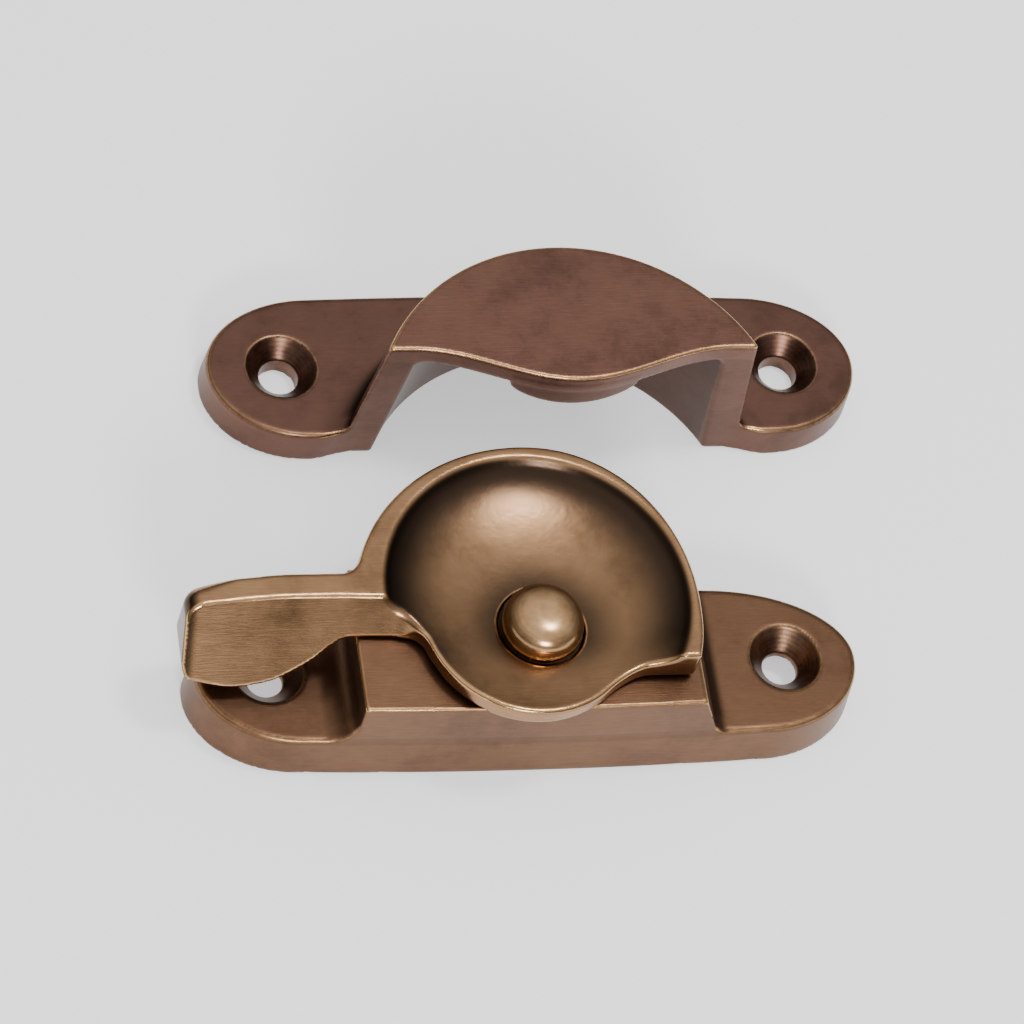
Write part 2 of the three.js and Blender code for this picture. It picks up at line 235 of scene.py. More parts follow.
def dish_hollow(p):
    """The flattened ball that the dish is hollowed by."""
    x, y, z = p
    across = np.hypot(x - DISH["x"], y - DISH["y"])
    below = z - CAM_TOP
    scaled = np.hypot(across / DISH["radius"], below / DISH["depth"])
    slope = np.hypot(across / DISH["radius"] ** 2, below / DISH["depth"] ** 2)
    return scaled * (scaled - 1) / np.maximum(slope, 1e-6)


def smooth(value, start, end):
    """0 before start, 1 after end, and eased between."""
    t = np.clip((value - start) / (end - start), 0, 1)
    return t * t * (3 - 2 * t)


def lever_film_and_painted_shade(p):
    """The belt can't reach the dish or the ring round the rivet, and it has rubbed the lip. Painted
    shade darkens the dish towards its walls and darkens the tip's end."""
    x, y, _ = p
    out = np.hypot(x - DISH["x"], y - DISH["y"]) / DISH["radius"]
    # Painted shade: the dish grows darker towards its walls.
    painted_wall_shade = FILM_AND_PAINTED_SHADE["painted_shade_dish_walls"] * smooth(out, 0.55, 0.95)
    from_ring = (np.hypot(x, y) - HEAD_SEAT["radius"]) / FILM_AND_PAINTED_SHADE["ring_width"]
    ring = FILM_AND_PAINTED_SHADE["rivet_ring"] * np.exp(-from_ring ** 2)
    dish = (FILM_AND_PAINTED_SHADE["dish"] + np.maximum(painted_wall_shade, ring)) * smooth(y, -8.5, -1.5)
    dish = dish * smooth(-np.abs(dish_hollow(p)), -0.24, -0.02)
    # Painted shade: the tip's end is darkened.
    return np.maximum(dish, FILM_AND_PAINTED_SHADE["painted_shade_lever_tip"] * smooth(-x, -ARM_TIP - 1.4, -ARM_TIP - 0.5))


def ear_film(p, top, film, within=0.6):
    """The belt that dresses the high faces skips over most of the ears."""
    return np.where(np.abs(p[2] - top) < within, film, 0)


def base_film(p):
    return ear_film(p, EAR_TOP, FILM_AND_PAINTED_SHADE["base_ears"])


def keeper_film(p):
    """The pocket under the canopy is left as it came from the sand, dark and rough, and the
    upright sides have been dressed less than the top."""
    x, y, z = p
    inside = np.hypot(x, y - HOOD["centre"]) < HOOD["inner"] + HOOD["inner_foot"] + 0.1
    front = y < HOOD["leg_front"] + 0.2
    in_pocket = inside & (z < HOOD["ceiling"] + 0.05) & (y > HOOD["leg_front"] + 0.2)
    sides = FILM_AND_PAINTED_SHADE["keeper_sides"] * smooth(KEEPER_THICKNESS - z, 0.4, 1.2)
    legs = np.where(front & (z < HOOD["ceiling"]), FILM_AND_PAINTED_SHADE["keeper_sides"], 0)
    film = np.maximum(ear_film(p, KEEPER_THICKNESS, FILM_AND_PAINTED_SHADE["keeper_ears"]), np.maximum(sides, legs))
    return np.where(in_pocket, FILM_AND_PAINTED_SHADE["pocket"], film)


def no_film(p):
    return 0 * p[0]


def lever_casting(p):
    """The dished cam and its finger lever."""
    x, y, z = p
    across = np.hypot(x, y)
    rim = across - cam_radius(np.degrees(np.arctan2(y, x)))
    crescent = np.maximum(rim, np.interp(x, CAM["chord_x"], CAM["chord_y"]) - y)
    lip = np.hypot(x - LIP["x"], y - LIP["y"]) - LIP["radius"]
    cam = joined(crescent, lip, LEVER_FILLETS["lip"])
    back = arm_value(x, "back")
    crease = arm_value(x, "crease")
    fall = arm_value(x, "fall")
    under = arm_value(x, "under")
    front = crease - fall * (CAM_TOP - under)
    facet = sloping(crease - y - fall * (CAM_TOP - z), fall)
    # The facet runs out into the lip, and everything past arm_end is clear of it.
    arm_end = LIP["x"] - LIP["radius"] / 2
    facet = np.minimum(joined(facet, lip, LEVER_FILLETS["facet"]), arm_end - x)
    arm = np.maximum(common(y - back, ARM_TIP - x, TIP_ROUNDS["back"]), np.maximum(front - y, x - arm_end))
    metal = joined(cam, arm, LEVER_FILLETS["arm"])
    metal = common(metal, z - CAM_TOP, np.interp(x, TIP_REACH, TIP_ROUNDS["top"]))
    metal = common(metal, under - z, np.interp(x, TIP_REACH, TIP_ROUNDS["under"]))
    metal = common(metal, common(facet, under - z, RUBBED["facet_foot"]), RUBBED["crease"])
    dish = dish_hollow(p)
    seat = np.maximum(across - HEAD_SEAT["radius"], HEAD_SEAT["floor"] - z)
    metal = cut(metal, dish, RUBBED["dish"])
    metal = cut(metal, seat, RUBBED["drilled"])
    return cut(metal, across - PIVOT_BORE, RUBBED["bore"])


def canopy_front(x):
    """The canopy's front edge bows forward in the middle and dies out at both legs."""
    along = np.clip(np.abs(x) / HOOD["bow_half"], 0, 1)
    return HOOD["leg_front"] - HOOD["bow"] * np.cos(math.pi / 2 * along) ** 2


def keeper_casting(p):
    """The plate with its hood, the pocket under the canopy and the tooth."""
    x, y, z = p
    inset = np.interp(z, (0, KEEPER_THICKNESS), (0, KEEPER_DRAFT))
    plate = common(plate_side(p, KEEPER_PLATE, inset), z - KEEPER_THICKNESS, RUBBED["ear"])
    across = np.hypot(x, y - HOOD["centre"])
    outer = HOOD["outer"] + HOOD["foot"] * (1 - z / CANOPY_TOP)
    wall = sloping(across - outer, HOOD["foot"] / CANOPY_TOP)
    hood = common(wall, z - CANOPY_TOP, RUBBED["crest"])
    metal = joined(plate, hood, HOOD["fillet"])
    swell = np.maximum(np.abs(x) - HOOD["flat"], 0) / HOOD["flat_ramp"]
    lean = HOOD["front_lean"] * (1 - z / CANOPY_TOP)
    front = canopy_front(x) - lean - HOOD["ear_step"] * swell ** 1.5
    metal = common(metal, front - y, RUBBED["canopy"])
    metal = common(metal, -z, RUBBED["underside"])
    inner = HOOD["inner"] + HOOD["inner_foot"] * (1 - z / HOOD["ceiling"])
    pocket = sloping(across - inner, HOOD["inner_foot"] / HOOD["ceiling"])
    pocket = common(pocket, z - HOOD["ceiling"], HOOD["pocket_corner"])
    metal = cut(metal, pocket, RUBBED["mouth"])
    round_side = np.clip(1 - (x / TOOTH["half_length"]) ** 2, 0, 1) ** TOOTH["fullness"]
    drop = (HOOD["ceiling"] - TOOTH["bottom"]) * round_side
    lens = HOOD["ceiling"] - drop - z
    depth = y - (canopy_front(0 * x) + TOOTH["depth"])
    face = np.maximum(front - y, np.abs(x) - TOOTH["half_length"])
    tooth = common(common(lens, depth, RUBBED["tooth_back"]), face, RUBBED["tooth_front"])
    tooth = np.maximum(tooth, z - HOOD["ceiling"] - TOOTH["root"])
    metal = joined(metal, tooth, RUBBED["tooth_root"])
    for side in (-1, 1):
        metal = cut(metal, cone_hole(p, KEEPER_SCREW, side, KEEPER_THICKNESS), RUBBED["drilled"])
    return metal


# ---- From distances to a mesh ----

# The twelve edges of a grid cell, as the axis each runs along and the corner it starts from.
CELL_EDGES = [(axis, (i, j)) for axis in range(3) for i in (0, 1) for j in (0, 1)]
# How many times a vertex is moved towards the surface, and the least slope that it trusts.
MOVES = 4
LEAST_SLOPE = 0.2
# Rubbed edges are felt for within this reach, and the corners where film gathers within the longer one.
EDGE_REACH = 0.45
CORNER_REACH = 1.6
# What bend() sums up to at a square edge, for each direction and each unit of reach.
SQUARE_EDGE = 0.32


def gradient(shape, points, reach=0.02):
    """The direction in which a distance grows, at each point."""
    sides = []
    for axis in range(3):
        step = np.zeros((3, 1))
        step[axis] = reach
        sides.append((shape(points + step) - shape(points - step)) / (2 * reach))
    return np.array(sides)


def skin(shape, low, high, step):
    """Vertices and quads of a shape's surface: one vertex in each cell that the surface crosses,
    moved onto it, and one quad round each grid edge that it crosses."""
    axes = [np.arange(a - 2 * step, b + 3 * step, step) for a, b in zip(low, high)]
    field = shape(np.meshgrid(*axes, indexing="ij"))
    cells = tuple(n - 1 for n in field.shape)
    total = np.zeros((3, *cells))
    count = np.zeros(cells)
    inside = field < 0
    for axis, (i, j) in CELL_EDGES:
        others = [a for a in range(3) if a != axis]
        near = [slice(0, -1)] * 3
        far = [slice(0, -1)] * 3
        for other, offset in zip(others, (i, j)):
            near[other] = far[other] = slice(1, None) if offset else slice(0, -1)
        far[axis] = slice(1, None)
        near, far = tuple(near), tuple(far)
        crossed = inside[near] != inside[far]
        gap = np.where(crossed, field[near] - field[far], 1)
        along = np.where(crossed, field[near] / gap, 0)
        total[axis] += along
        total[others[0]] += crossed * i
        total[others[1]] += crossed * j
        count += crossed
    used = np.nonzero(count)
    corner = np.array([axes[a][used[a]] for a in range(3)])
    points = corner + step * total[(slice(None), *used)] / count[used]
    number = np.full(cells, -1)
    number[used] = np.arange(len(used[0]))
    for _ in range(MOVES):
        slope = gradient(shape, points)
        move = shape(points) * slope / np.maximum((slope ** 2).sum(0), LEAST_SLOPE)
        points = points - np.clip(move, -step, step)
    quads = []
    for axis in range(3):
        others = [(axis + 1) % 3, (axis + 2) % 3]
        near = [slice(1, -1)] * 3
        far = [slice(1, -1)] * 3
        near[axis] = slice(0, -1)
        far[axis] = slice(1, None)
        here, there = inside[tuple(near)], inside[tuple(far)]
        for leaving in (True, False):
            spot = np.array(np.nonzero((here != there) & (here == leaving)))
            spot[others] += 1
            ring = [spot.copy() for _ in range(4)]
            ring[1][others[0]] -= 1
            ring[2][others] -= 1
            ring[3][others[1]] -= 1
            quad = np.array([number[tuple(r)] for r in ring]).T
            quads.append(quad if leaving else quad[:, ::-1])
    return points, np.concatenate(quads)


def directions(count=14):
    """Evenly spread directions, by the golden angle."""
    k = np.arange(count) + 0.5
    height = 1 - 2 * k / count
    turn = math.pi * (1 + 5 ** 0.5) * k
    width = np.sqrt(1 - height ** 2)
    return np.array([width * np.cos(turn), width * np.sin(turn), height]).T


def bend(shape, points, reach):
    """How far the surface bends within that reach: 1 at a square edge, -1 in a square corner."""
    ways = directions()
    around = sum(shape(points + reach * way[:, None]) for way in ways)
    return np.clip(around / (len(ways) * SQUARE_EDGE * reach), -1, 1)


def cast(name, shape, low, high, step, place, materials, turned, film=no_film):
    """A casting as a mesh object, with its rubbed edges and its filmed corners as attributes; the
    second also carries the film and the painted shade that film() gives.
    """
    points, quads = skin(shape, low, high, step)
    mesh = bpy.data.meshes.new(name)
    world = (points.T + np.array(place)) * MM
    mesh.from_pydata(world.tolist(), [], quads.tolist())
    # The belt rubs the edges that face it, and little of those that face down or sideways.
    facing = smooth(gradient(shape, points)[2], -0.1, 0.6)
    rubbed = np.clip(bend(shape, points, EDGE_REACH), 0, 1) * (0.3 + 0.7 * facing)
    # Film in the concave corners, and from film() each casting's film and painted shade, such as the lever's
    # darkened dish walls and tip end.
    film_and_painted_shade = np.maximum(np.clip(-bend(shape, points, CORNER_REACH), 0, 1), film(points))
    for label, value in (("rubbed_edge", rubbed), ("film_and_painted_shade", film_and_painted_shade)):
        layer = mesh.attributes.new(label, "FLOAT", "POINT")
        layer.data.foreach_set("value", value.astype(np.float32))
    for material in materials:
        mesh.materials.append(material)
    in_hole = turned(points)[quads].all(axis=1)
    mesh.polygons.foreach_set("material_index", in_hole.astype(np.int32))
    mesh.shade_smooth()
    piece = bpy.data.objects.new(name, mesh)
    bpy.context.scene.collection.objects.link(piece)
    return piece


def in_screw_holes(screw, top):
    """Which points lie on the turned cones and bores of a plate's screw holes."""
    def chosen(points):
        x, y, z = points
        near = np.hypot(np.abs(x) - screw["x"], y) < screw["head"] + 0.05
        return near & (z < top - 0.02) & (z > top - screw["cone"] - 2)
    return chosen


def in_bore(points):
    """Which points lie in the seat that is turned for the rivet's head, coloured dark as painted shade."""
    x, y, _ = points
    return np.hypot(x, y) < HEAD_SEAT["radius"] + 0.05


# ---- Materials ----

def linear(code):
    """An sRGB hex colour as linear RGBA."""
    parts = [int(code[i:i + 2], 16) / 255 for i in (1, 3, 5)]
    curve = [c / 12.92 if c <= 0.04045 else ((c + 0.055) / 1.055) ** 2.4 for c in parts]
    return (*curve, 1)


def add(tree, kind, settings=None, inputs=None, stops=()):
    """A node with its settings, its inputs by name or number, each linked to an output or set to
    a value, and a colour ramp's stops, each a position with a hex colour or a grey level."""
    node = tree.nodes.new(kind)
    for name, value in (settings or {}).items():
        setattr(node, name, value)
    for name, value in (inputs or {}).items():
        if isinstance(value, bpy.types.NodeSocket):
            tree.links.new(value, node.inputs[name])
        else:
            node.inputs[name].default_value = value
    for index, (position, level) in enumerate(stops):
        elements = node.color_ramp.elements
        element = elements[index] if index < len(elements) else elements.new(position)
        element.position = position
        element.color = linear(level) if isinstance(level, str) else (level, level, level, 1)
    return node


def new_material(name):
    material = bpy.data.materials.new(name)
    material.use_nodes = True
    material.node_tree.nodes.clear()
    return material, material.node_tree


def antique_cast_brass(name, deepest, dark, body, light, worn, grain_along, roughness):
    """Cast brass, linished on a belt, browned with a chemical patina and rubbed back: fine belt
    lines, a mottled brown film that is thicker in the corners, and bright metal on the edges.
    The same darkening also paints shade where the casting asks for it."""
    material, tree = new_material(name)
    spot = add(tree, "ShaderNodeTexCoord").outputs["Object"]
    # The film's mottling, in patches of about 7 mm and of 1.5 mm.
    patches = add(tree, "ShaderNodeTexNoise", inputs={
        "Vector": spot, "Scale": 140, "Detail": 3, "Roughness": 0.5}).outputs["Fac"]
    specks = add(tree, "ShaderNodeTexNoise", inputs={
        "Vector": spot, "Scale": 700, "Detail": 6, "Roughness": 0.7}).outputs["Fac"]
    mottle = add(tree, "ShaderNodeMix", {"data_type": "FLOAT"}, {
        "Factor": 0.35, "A": patches, "B": specks}).outputs["Result"]
    film = add(tree, "ShaderNodeValToRGB", inputs={"Fac": mottle}, stops=[
        (0.22, dark), (0.5, body), (0.8, light)]).outputs["Color"]
    # Belt lines 0.15 mm apart and a few millimetres long, coarser than real so that they show.
    stretch = add(tree, "ShaderNodeMapping", inputs={"Vector": spot, "Scale": grain_along}).outputs["Vector"]
    grain = add(tree, "ShaderNodeTexNoise", inputs={
        "Vector": stretch, "Scale": 1, "Detail": 5, "Roughness": 0.65}).outputs["Fac"]
    lines = add(tree, "ShaderNodeValToRGB", inputs={"Fac": grain}, stops=[
        (0.3, 0.7), (0.7, 1.0)]).outputs["Color"]
    # The lines fade out where the film lies thick and where shade is painted.
    film_and_shade_level = add(tree, "ShaderNodeAttribute", {"attribute_name": "film_and_painted_shade"}).outputs["Fac"]
    belt = add(tree, "ShaderNodeMapRange", inputs={
        "Value": film_and_shade_level, "From Min": 0.1, "From Max": 0.4, "To Min": 0.6, "To Max": 0.05}).outputs["Result"]
    lined = add(tree, "ShaderNodeMix", {"data_type": "RGBA", "blend_type": "MULTIPLY"}, {
        "Factor": belt, "A": film, "B": lines}).outputs["Result"]
    # The film gathers in corners, the same dark colour paints shade where the attribute asks for it, and the
    # film is rubbed through on edges, where it breaks up.
    deep = add(tree, "ShaderNodeValToRGB", inputs={"Fac": film_and_shade_level}, stops=[
        (0.02, 0.0), (0.85, 0.95)]).outputs["Color"]
    corners = add(tree, "ShaderNodeMix", {"data_type": "RGBA"}, {
        "Factor": deep, "A": lined, "B": linear(deepest)}).outputs["Result"]
    edge = add(tree, "ShaderNodeAttribute", {"attribute_name": "rubbed_edge"}).outputs["Fac"]
    broken = add(tree, "ShaderNodeMath", {"operation": "MULTIPLY_ADD"}, {
        0: specks, 1: 0.35, 2: edge}).outputs["Value"]
    rubbed = add(tree, "ShaderNodeValToRGB", inputs={"Fac": broken}, stops=[
        (0.5, 0.0), (0.95, 1.0)]).outputs["Color"]
    colour = add(tree, "ShaderNodeMix", {"data_type": "RGBA"}, {
        "Factor": rubbed, "A": corners, "B": linear(worn)}).outputs["Result"]
    rough = add(tree, "ShaderNodeMapRange", inputs={
        "Value": mottle, "To Min": roughness - 0.08, "To Max": roughness + 0.12}).outputs["Result"]
    polished = add(tree, "ShaderNodeMix", {"data_type": "FLOAT"}, {
        "Factor": rubbed, "A": rough, "B": roughness - 0.12}).outputs["Result"]
    relief = add(tree, "ShaderNodeMix", {"data_type": "FLOAT"}, {
        "Factor": belt, "A": specks, "B": grain}).outputs["Result"]
    bump = add(tree, "ShaderNodeBump", inputs={
        "Height": relief, "Strength": 0.35, "Distance": 0.06 * MM}).outputs["Normal"]
    shader = add(tree, "ShaderNodeBsdfPrincipled", inputs={
        "Base Color": colour, "Roughness": polished, "Normal": bump, "Metallic": 1.0})
    add(tree, "ShaderNodeOutputMaterial", inputs={"Surface": shader.outputs["BSDF"]})
    return material


def turned_brass(name, body, light, pitch=0.35, roughness=0.34):
    """Brass cut on a lathe or by a countersink bit and then browned: fine rings round the cutter's
    axis, drawn coarser than the real feed so that they show."""
    material, tree = new_material(name)
    spot = add(tree, "ShaderNodeTexCoord").outputs["Object"]
    level = add(tree, "ShaderNodeSeparateXYZ", inputs={"Vector": spot}).outputs["Z"]
    ring = add(tree, "ShaderNodeMath", {"operation": "MULTIPLY"}, {
        0: level, 1: 2 * math.pi / (pitch * MM)}).outputs["Value"]
    wave = add(tree, "ShaderNodeMath", {"operation": "SINE"}, {0: ring}).outputs["Value"]
    haze = add(tree, "ShaderNodeTexNoise", inputs={
        "Vector": spot, "Scale": 420, "Detail": 5, "Roughness": 0.65}).outputs["Fac"]
    uneven = add(tree, "ShaderNodeMath", {"operation": "MULTIPLY_ADD"}, {
        0: wave, 1: 0.03, 2: haze}).outputs["Value"]
    colour = add(tree, "ShaderNodeValToRGB", inputs={"Fac": uneven}, stops=[
        (0.35, body), (0.68, light)]).outputs["Color"]
    rough = add(tree, "ShaderNodeMapRange", inputs={
        "Value": haze, "To Min": roughness - 0.06, "To Max": roughness + 0.08}).outputs["Result"]
    bump = add(tree, "ShaderNodeBump", inputs={
        "Height": wave, "Strength": 0.12, "Distance": 0.01 * MM}).outputs["Normal"]
    shader = add(tree, "ShaderNodeBsdfPrincipled", inputs={
        "Base Color": colour, "Roughness": rough, "Normal": bump, "Metallic": 1.0})
    add(tree, "ShaderNodeOutputMaterial", inputs={"Surface": shader.outputs["BSDF"]})
    return material


def rolled_spring_steel():
    """Spring steel strip, cold rolled and oiled: grey, with faint rolling lines along the strip."""
    material, tree = new_material("spring steel, cold rolled")
    spot = add(tree, "ShaderNodeTexCoord").outputs["Object"]
    stretch = add(tree, "ShaderNodeMapping", inputs={
        "Vector": spot, "Scale": (300, 4000, 4000)}).outputs["Vector"]
    lines = add(tree, "ShaderNodeTexNoise", inputs={
        "Vector": stretch, "Scale": 1, "Detail": 4, "Roughness": 0.6}).outputs["Fac"]
    colour = add(tree, "ShaderNodeValToRGB", inputs={"Fac": lines}, stops=[
        (0.3, "#6f6c66"), (0.7, "#98948c")]).outputs["Color"]
    rough = add(tree, "ShaderNodeMapRange", inputs={
        "Value": lines, "To Min": 0.26, "To Max": 0.4}).outputs["Result"]
    shader = add(tree, "ShaderNodeBsdfPrincipled", inputs={
        "Base Color": colour, "Roughness": rough, "Metallic": 1.0})
    add(tree, "ShaderNodeOutputMaterial", inputs={"Surface": shader.outputs["BSDF"]})
    return material


ALONG_PLATE = (420, 7000, 5000)
BASE_BRASS = antique_cast_brass(
    "brass, sand cast and browned, base", "#33251e", "#563e2f", "#745540", "#7f5f48",
    "#c89c6e", ALONG_PLATE, 0.36)
LEVER_BRASS = antique_cast_brass(
    "brass, sand cast and browned, lever", "#302620", "#71563f", "#a07b59", "#ae8864",
    "#cda273", ALONG_PLATE, 0.22)
KEEPER_BRASS = antique_cast_brass(
    "brass, sand cast and browned dark, keeper", "#2a201c", "#523b32", "#735347", "#7e5e50",
    "#c2966a", ALONG_PLATE, 0.37)
HOLE_BRASS = turned_brass("brass, countersunk and browned", "#5a4335", "#8a6c55")
KEEPER_HOLE_BRASS = turned_brass("brass, countersunk and browned dark", "#4a352c", "#775849")
# The seat's brass is darkened as painted shade for the gap round the rivet's head.
SEAT_BRASS_DARKENED_AS_SHADE = turned_brass("brass, spot faced, darkened as painted shade", "#2a211b", "#473a2f")
RIVET_BRASS = turned_brass("brass, turned and burnished", "#a8835c", "#c9a176", 0.25, 0.24)
WASHER_BRASS = turned_brass("brass, stamped", "#8f6f45", "#b48e5a", 0.2, 0.32)
SPRING_STEEL = rolled_spring_steel()

# ---- Castings in place ----

STEP = 0.24


def add_base():
    reach = BASE_PLATE["half_length"]
    piece = cast(
        "base_casting", base_casting, (-reach, -9, 0), (reach, 9, BLOCK_TOP), STEP,
        BASE_MIDDLE, (BASE_BRASS, HOLE_BRASS), in_screw_holes(BASE_SCREW, EAR_TOP), base_film)
    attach(piece, "base")
    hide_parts("fastener_base")


def add_lever():
    piece = cast(
        "cam_lever_casting", lever_casting, (ARM_TIP, -11, 6), (16, CAM["heel"] + 0.5, CAM_TOP),
        STEP * 0.8, PIVOT, (LEVER_BRASS, SEAT_BRASS_DARKENED_AS_SHADE), in_bore, lever_film_and_painted_shade)
    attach(piece, "lever")
    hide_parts("cam_lever")


def add_keeper():
    reach = KEEPER_PLATE["half_length"]
    piece = cast(
        "keeper_casting", keeper_casting, (-reach, -11, 0), (reach, 9, CANOPY_TOP), STEP,
        KEEPER_MIDDLE, (KEEPER_BRASS, KEEPER_HOLE_BRASS), in_screw_holes(KEEPER_SCREW, KEEPER_THICKNESS),
        keeper_film)
    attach(piece, "keeper")
    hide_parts("keeper")


# ---- Rivet ----

RIVET = {
    "shank": 2.0, "head": 3.9, "rim": 0.18, "dome": 3.1, "neck": 0.5, "foot": 11.95,
    "fullness": 0.72, "tail": 3.3, "tail_top": 3.3, "tail_height": 0.9,
}
RIVET_SEGMENTS = 128


def rivet_profile():
    """Radius and height from the peened tail to the crown, with the head's rim rubbed round."""
    tail = [(RIVET["tail"] * math.cos(a), RIVET["tail_top"] + RIVET["tail_height"] * math.sin(a))
            for a in np.radians(np.linspace(-90, 0, 14))]
    rim = RIVET["rim"]
    low = RIVET["foot"]
    lower = [(RIVET["head"] - rim + rim * math.sin(a), low + rim - rim * math.cos(a))
             for a in np.radians(np.linspace(0, 90, 6))]
    spring = low + RIVET["neck"]
    full = RIVET["fullness"]
    crown = [(RIVET["head"] * max(math.cos(a), 0) ** full, spring + RIVET["dome"] * math.sin(a) ** full)
             for a in np.radians(np.linspace(0, 90, 32))]
    shank = [(RIVET["shank"], RIVET["tail_top"]), (RIVET["shank"], low)]
    return tail[1:] + shank + lower + crown[:-1]


def add_rivet():
    profile = rivet_profile()
    turns = np.arange(RIVET_SEGMENTS) * 2 * math.pi / RIVET_SEGMENTS
    verts = [(PIVOT.x + r * math.cos(a), PIVOT.y + r * math.sin(a), z) for r, z in profile for a in turns]
    faces = []
    for k in range(len(profile) - 1):
        for i in range(RIVET_SEGMENTS):
            j = (i + 1) % RIVET_SEGMENTS
            a, b = k * RIVET_SEGMENTS, (k + 1) * RIVET_SEGMENTS
            faces.append((a + i, a + j, b + j, b + i))
    poles = (RIVET["tail_top"] - RIVET["tail_height"], RIVET["foot"] + RIVET["neck"] + RIVET["dome"])
    verts += [(PIVOT.x, PIVOT.y, z) for z in poles]
    last = (len(profile) - 1) * RIVET_SEGMENTS
    for i in range(RIVET_SEGMENTS):
        j = (i + 1) % RIVET_SEGMENTS
        faces.append((len(verts) - 2, j, i))
        faces.append((last + i, last + j, len(verts) - 1))
    mesh = bpy.data.meshes.new("pivot_rivet_turned")
    mesh.from_pydata([[c * MM for c in v] for v in verts], [], faces)
    mesh.materials.append(RIVET_BRASS)
    mesh.shade_smooth()
    piece = bpy.data.objects.new("pivot_rivet_turned", mesh)
    bpy.context.scene.collection.objects.link(piece)
    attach(piece, "base")
    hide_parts("pivot_rivet")


# ---- Washers, by Geometry Nodes ----

WASHERS = (
    ("friction_washer_pressed", "friction_washer", "spring_steel", SPRING_STEEL,
     {"Inner": 2.2, "Outer": 6.4, "Bottom": 10.85, "Thickness": 0.3, "Wave": 0.0, "Waves": 0}),
    ("wave_washer_pressed", "wave_washer", "spring_steel", SPRING_STEEL,
     {"Inner": 2.2, "Outer": 4.7, "Bottom": 4.45, "Thickness": 0.3, "Wave": 0.2, "Waves": 3}),
    ("backing_washer_stamped", "backing_washer", "washer_brass", WASHER_BRASS,
     {"Inner": 2.2, "Outer": 4.9, "Bottom": 3.35, "Thickness": 0.8, "Wave": 0.0, "Waves": 0}),
)


def washer_tree(name, material):
    """A strip of quads bent into a ring: along it the angle runs round, across it the wall's
    outline runs inside, over, outside and under, and the ring may be pressed into waves."""
    tree = bpy.data.node_groups.new(name, "GeometryNodeTree")
    for label in ("Inner", "Outer", "Bottom", "Thickness", "Wave"):
        tree.interface.new_socket(label, in_out="INPUT", socket_type="NodeSocketFloat")
    tree.interface.new_socket("Waves", in_out="INPUT", socket_type="NodeSocketInt")
    tree.interface.new_socket("Geometry", in_out="OUTPUT", socket_type="NodeSocketGeometry")
    given = add(tree, "NodeGroupInput").outputs
    strip = add(tree, "GeometryNodeMeshGrid", inputs={
        "Size X": 1.0, "Size Y": 1.0, "Vertices X": 97, "Vertices Y": 5})
    position = add(tree, "GeometryNodeInputPosition").outputs[0]
    place = add(tree, "ShaderNodeSeparateXYZ", inputs={"Vector": position})
    turn = add(tree, "ShaderNodeMath", {"operation": "MULTIPLY"}, {0: place.outputs["X"], 1: -2 * math.pi})
    # Five rows of points run across the strip, from -0.5 to 0.5. The second and third are on the
    # ring's outside, the third and fourth on its top, and the last closes on the first.
    is_outer = add(tree, "ShaderNodeMath", {"operation": "COMPARE"}, {
        0: place.outputs["Y"], 1: -0.125, 2: 0.2})
    is_top = add(tree, "ShaderNodeMath", {"operation": "COMPARE"}, {
        0: place.outputs["Y"], 1: 0.125, 2: 0.2})
    radius = add(tree, "ShaderNodeMix", {"data_type": "FLOAT"}, {
        "Factor": is_outer.outputs[0], "A": given["Inner"], "B": given["Outer"]})
    rise = add(tree, "ShaderNodeMath", {"operation": "MULTIPLY_ADD"}, {
        0: is_top.outputs[0], 1: given["Thickness"], 2: given["Bottom"]})
    swing = add(tree, "ShaderNodeMath", {"operation": "MULTIPLY"}, {0: turn.outputs[0], 1: given["Waves"]})
    swell = add(tree, "ShaderNodeMath", {"operation": "COSINE"}, {0: swing.outputs[0]})
    height = add(tree, "ShaderNodeMath", {"operation": "MULTIPLY_ADD"}, {
        0: swell.outputs[0], 1: given["Wave"], 2: rise.outputs[0]})
    cosine = add(tree, "ShaderNodeMath", {"operation": "COSINE"}, {0: turn.outputs[0]})
    sine = add(tree, "ShaderNodeMath", {"operation": "SINE"}, {0: turn.outputs[0]})
    x = add(tree, "ShaderNodeMath", {"operation": "MULTIPLY"}, {0: radius.outputs[0], 1: cosine.outputs[0]})
    y = add(tree, "ShaderNodeMath", {"operation": "MULTIPLY"}, {0: radius.outputs[0], 1: sine.outputs[0]})
    there = add(tree, "ShaderNodeCombineXYZ", inputs={
        "X": x.outputs[0], "Y": y.outputs[0], "Z": height.outputs[0]})
    bent = add(tree, "GeometryNodeSetPosition", inputs={
        "Geometry": strip.outputs["Mesh"], "Position": there.outputs[0]})
    closed = add(tree, "GeometryNodeMergeByDistance", inputs={
        "Geometry": bent.outputs[0], "Distance": 0.001})
    real = add(tree, "GeometryNodeRealizeInstances", inputs={"Geometry": closed.outputs[0]})
    done = add(tree, "GeometryNodeSetMaterial", inputs={
        "Geometry": real.outputs[0], "Material": material})
    add(tree, "NodeGroupOutput", inputs={"Geometry": done.outputs[0]})
    return tree


def add_washer(name, node, slot, material, sizes):
    maker = bpy.data.objects.new(name, bpy.data.meshes.new(name))
    bpy.context.scene.collection.objects.link(maker)
    modifier = maker.modifiers.new("washer", "NODES")
    modifier.node_group = washer_tree(name, material)
    for item in modifier.node_group.interface.items_tree:
        if item.in_out == "INPUT":
            modifier[item.identifier] = sizes[item.name]
    bpy.context.view_layer.update()
    evaluated = maker.evaluated_get(bpy.context.evaluated_depsgraph_get())
    mesh = bpy.data.meshes.new_from_object(evaluated)
    maker.modifiers.remove(modifier)
    mesh.transform(Matrix.Scale(MM, 4) @ Matrix.Translation(PIVOT))
    maker.data = mesh
    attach(maker, "base")
    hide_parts(node)


# ---- Studio ----

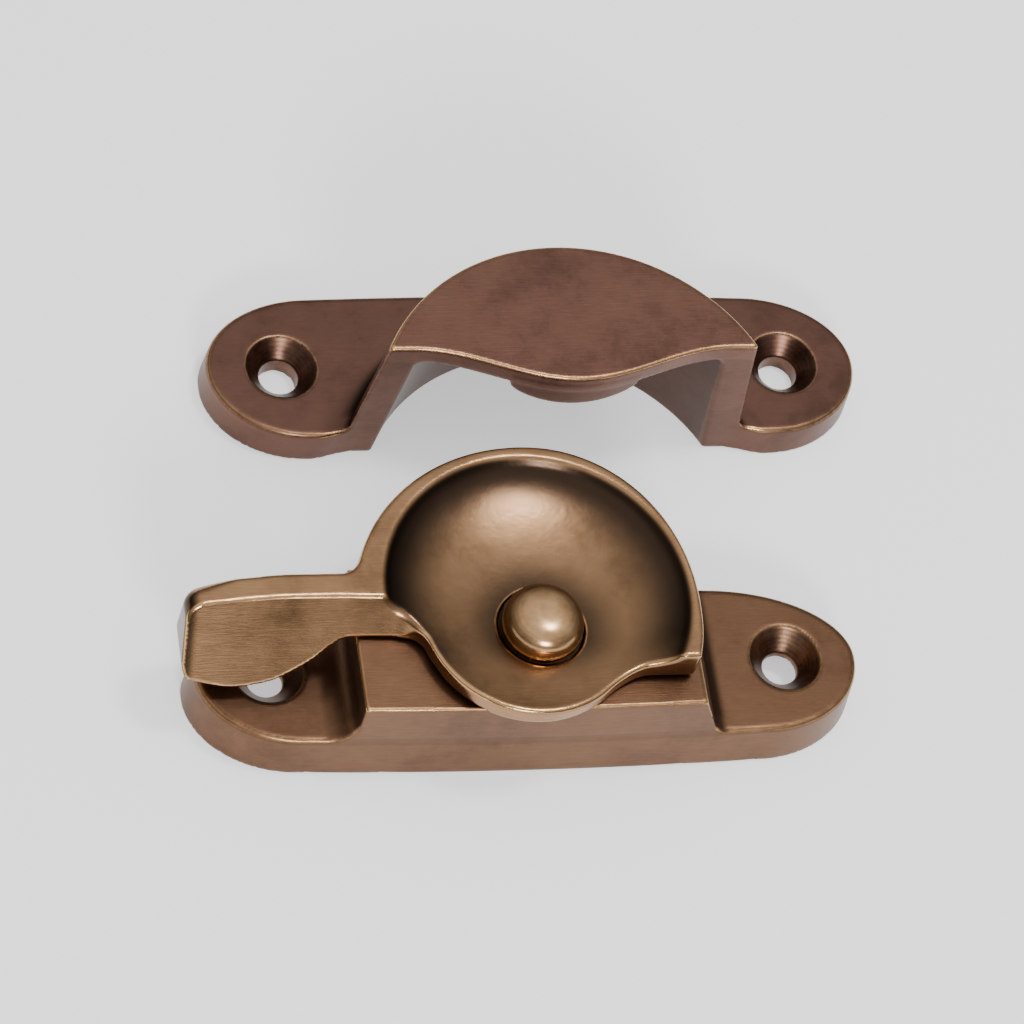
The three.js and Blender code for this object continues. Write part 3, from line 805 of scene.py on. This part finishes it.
# The tent's brightness by height, from the horizon upwards.
TENT = [(0.0, 0.16), (0.3, 0.24), (0.65, 0.6), (0.85, 1.1)]


def add_floor():
    size = 3.0
    mesh = bpy.data.meshes.new("floor")
    corners = [(-size, -size, 0), (size, -size, 0), (size, size, 0), (-size, size, 0)]
    mesh.from_pydata(corners, [], [(0, 1, 2, 3)])
    # A light table: white sheet lit from below, which also lifts the castings' upright sides.
    material, tree = new_material("acrylic sheet, opal white")
    shader = add(tree, "ShaderNodeBsdfPrincipled", inputs={
        "Base Color": linear("#f4f4f3"), "Roughness": 0.9,
        "Emission Color": linear("#ffffff"), "Emission Strength": 0.7})
    add(tree, "ShaderNodeOutputMaterial", inputs={"Surface": shader.outputs["BSDF"]})
    mesh.materials.append(material)
    floor = bpy.data.objects.new("floor", mesh)
    bpy.context.scene.collection.objects.link(floor)


def add_softbox(name, place, aim, width, height, watts):
    light = bpy.data.lights.new(name, "AREA")
    light.shape = "RECTANGLE"
    light.size = width
    light.size_y = height
    light.energy = watts
    lamp = bpy.data.objects.new(name, light)
    lamp.location = place
    lamp.rotation_euler = (Vector(aim) - Vector(place)).to_track_quat("-Z", "Y").to_euler()
    bpy.context.scene.collection.objects.link(lamp)


def add_world():
    """A light tent: bright overhead and dimmer towards the horizon."""
    world = bpy.data.worlds.new("studio")
    world.use_nodes = True
    tree = world.node_tree
    tree.nodes.clear()
    way = add(tree, "ShaderNodeTexCoord").outputs["Generated"]
    height = add(tree, "ShaderNodeSeparateXYZ", inputs={"Vector": way}).outputs["Z"]
    level = add(tree, "ShaderNodeValToRGB", inputs={"Fac": height}, stops=TENT).outputs["Color"]
    back = add(tree, "ShaderNodeBackground", inputs={"Color": level, "Strength": 1.0})
    add(tree, "ShaderNodeOutputWorld", inputs={"Surface": back.outputs["Background"]})
    bpy.context.scene.world = world


def add_camera():
    """Seen from the front left and well above, tilted a little, through a long lens."""
    turn, height, roll = (math.radians(a) for a in (-27.3, 56.55, 22.4))
    back = Vector((math.sin(turn) * math.cos(height), -math.cos(turn) * math.cos(height), math.sin(height)))
    right = Vector((math.cos(turn), math.sin(turn), 0))
    up = back.cross(right)
    across = math.cos(roll) * right + math.sin(roll) * up
    above = -math.sin(roll) * right + math.cos(roll) * up
    target = Vector((-0.105, 3.135, 0)) * MM
    matrix = Matrix((across, above, back)).transposed().to_4x4()
    matrix.translation = target + back * 489.5 * MM
    data = bpy.data.cameras.new("camera")
    data.lens = 175.8
    data.sensor_width = 36
    data.clip_start = 0.01
    camera = bpy.data.objects.new("camera", data)
    camera.matrix_world = matrix
    bpy.context.scene.collection.objects.link(camera)
    bpy.context.scene.camera = camera


add_base()
add_lever()
add_keeper()
add_rivet()
for washer in WASHERS:
    add_washer(*washer)

add_floor()
add_world()
add_softbox("overhead softbox", (0.155, 0.045, 0.62), (0, 0, 0), 0.09, 0.09, 1.2)
add_softbox("front softbox", (0.0, -0.58, 0.34), (0, 0, 0.01), 0.16, 0.12, 2.4)
add_camera()
